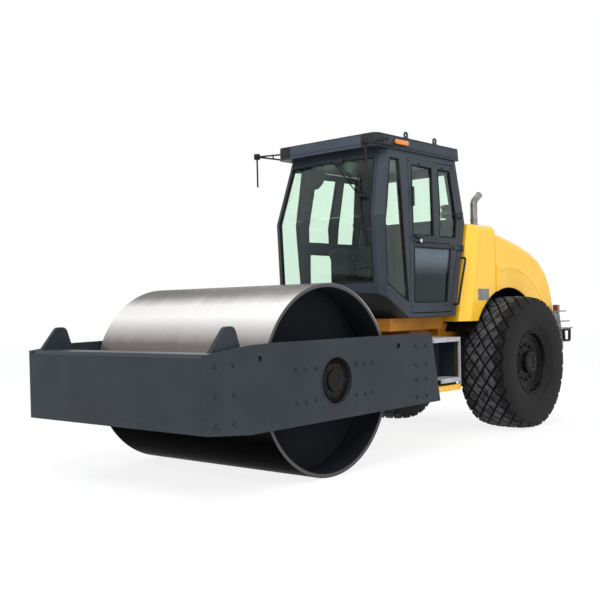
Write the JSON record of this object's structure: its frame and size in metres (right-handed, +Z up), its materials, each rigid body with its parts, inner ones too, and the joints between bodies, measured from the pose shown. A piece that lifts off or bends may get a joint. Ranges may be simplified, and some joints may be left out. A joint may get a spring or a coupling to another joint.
{
  "type": "road roller",
  "caption": "Articulated single-drum soil compactor: smooth steel drum in a heavy plate frame, glazed cab, curved engine hood and two block-tread rear tyres.",
  "frame": {"origin": "on the ground, half way along and half way across the machine", "axes": "-Y is forwards, towards the drum; +X is the left side of the machine; +Z is up"},
  "size_m": [2.352, 6.6, 3.2729],
  "materials": {
    "frame_grey": "satin dark slate paint",
    "cab_grey": "satin charcoal blue paint",
    "hood_yellow": "glossy chrome yellow paint",
    "drum_steel": "rolled steel, polished by use",
    "black_paint": "black paint",
    "pin_steel": "machined",
    "rod_chrome": "hard chrome",
    "tyre_rubber": "matte",
    "rim_black": "black paint",
    "clear_glass": "clear, faint green",
    "seat_cover": "black seat cover",
    "trim_plastic": "grained",
    "lamp_orange": "clear orange lens",
    "lamp_red": "red lens",
    "pipe_steel": "heat-stained steel",
    "tread_metal": "light grey tread",
    "engine_iron": "cast"
  },
  "bodies": {
    "drum_frame": {"left_side_plate": "frame_grey", "right_side_plate": "frame_grey", "front_beam": "frame_grey", "nose_ears": "frame_grey", "rear_beam": "frame_grey", "drum_carriers": "black_paint", "scrapers": "frame_grey"},
    "drum": {"drum": "drum_steel"},
    "centre_yoke": {"centre_yoke": "black_paint"},
    "chassis": {"steer_pin": "pin_steel", "cab_mounts": "trim_plastic", "chassis_frame": "hood_yellow", "rear_axle": "hood_yellow", "engine_block": "engine_iron", "step_boxes": "black_paint", "treads": "tread_metal", "step_sills": "hood_yellow", "pivot_bracket": "hood_yellow", "windscreen": "clear_glass", "rear_window": "clear_glass", "quarter_windows": "clear_glass", "cab_tub": "cab_grey", "cab_frame": "cab_grey", "roof": "cab_grey", "lifting_eyes": "cab_grey", "mirror_arms": "black_paint", "seat": "seat_cover", "seat_pedestal": "trim_plastic", "console": "trim_plastic", "steering_wheel": "trim_plastic", "roof_lamps": "lamp_orange", "cowl": "hood_yellow", "wheel_wells": "black_paint", "exhaust": "pipe_steel", "air_cleaner": "trim_plastic", "rear_bumper": "black_paint", "tail_brackets": "tread_metal", "tail_loops": "black_paint", "tail_lamps": "lamp_red", "grab_rails": "black_paint", "fuel_tank": "black_paint"},
    "left_wheel": {"left_tyre": "tyre_rubber", "left_rim": "rim_black"},
    "right_wheel": {"right_tyre": "tyre_rubber", "right_rim": "rim_black"},
    "left_barrel": {"left_barrel": "black_paint"},
    "right_barrel": {"right_barrel": "black_paint"},
    "left_rod": {"left_rod": "rod_chrome"},
    "right_rod": {"right_rod": "rod_chrome"},
    "left_door": {"left_door": "cab_grey", "left_door_glass": "clear_glass"},
    "right_door": {"right_door": "cab_grey", "right_door_glass": "clear_glass"},
    "hood": {"hood": "hood_yellow", "rear_grille": "black_paint"}
  },
  "joints": [
    {"name": "steer", "type": "hinge", "parent": "chassis", "child": "centre_yoke", "pos_m": [0, 0.08, 0.83], "axis": [0, 0, 1], "range_deg": [-32, 32]},
    {"name": "frame_tilt", "type": "hinge", "parent": "centre_yoke", "child": "drum_frame", "pos_m": [0, -0.5, 0.83], "axis": [0, 1, 0], "range_deg": [-10, 10]},
    {"name": "drum_spin", "type": "hinge", "parent": "drum_frame", "child": "drum", "pos_m": [0, -1.81, 0.835], "axis": [1, 0, 0], "continuous": true},
    {"name": "left_wheel_spin", "type": "hinge", "parent": "chassis", "child": "left_wheel", "pos_m": [0.876, 1.8, 0.77], "axis": [1, 0, 0], "continuous": true},
    {"name": "right_wheel_spin", "type": "hinge", "parent": "chassis", "child": "right_wheel", "pos_m": [-0.876, 1.8, 0.77], "axis": [1, 0, 0], "continuous": true},
    {"name": "left_door_hinge", "type": "hinge", "parent": "chassis", "child": "left_door", "pos_m": [0.754, 0.93, 2.1], "axis": [0, 0, 1], "range_deg": [0, 75]},
    {"name": "right_door_hinge", "type": "hinge", "parent": "chassis", "child": "right_door", "pos_m": [-0.754, 0.93, 2.1], "axis": [0, 0, -1], "range_deg": [0, 75]},
    {"name": "hood_hinge", "type": "hinge", "parent": "chassis", "child": "hood", "pos_m": [0, 1.535, 2.313], "axis": [1, 0, 0], "range_deg": [0, 45]},
    {"name": "left_barrel_swing", "type": "hinge", "parent": "chassis", "child": "left_barrel", "pos_m": [0.27, 0.56, 0.83], "axis": [0, 0, 1], "range_deg": [-12.2, 12.2]},
    {"name": "left_rod_slide", "type": "slide", "parent": "left_barrel", "child": "left_rod", "axis": [0, 1, 0], "range_m": [-0.15, 0.15]},
    {"name": "right_barrel_swing", "type": "hinge", "parent": "chassis", "child": "right_barrel", "pos_m": [-0.27, 0.56, 0.83], "axis": [0, 0, 1], "range_deg": [-12.2, 12.2]},
    {"name": "right_rod_slide", "type": "slide", "parent": "right_barrel", "child": "right_rod", "axis": [0, 1, 0], "range_m": [-0.15, 0.15]}
  ],
  "couplings": [
    {"joint": "left_barrel_swing", "follows": "steer", "ratio": 0.377},
    {"joint": "left_rod_slide", "follows": "steer", "m_per_rad": 0.2657},
    {"joint": "right_barrel_swing", "follows": "steer", "ratio": 0.377},
    {"joint": "right_rod_slide", "follows": "steer", "m_per_rad": -0.2657}
  ]
}
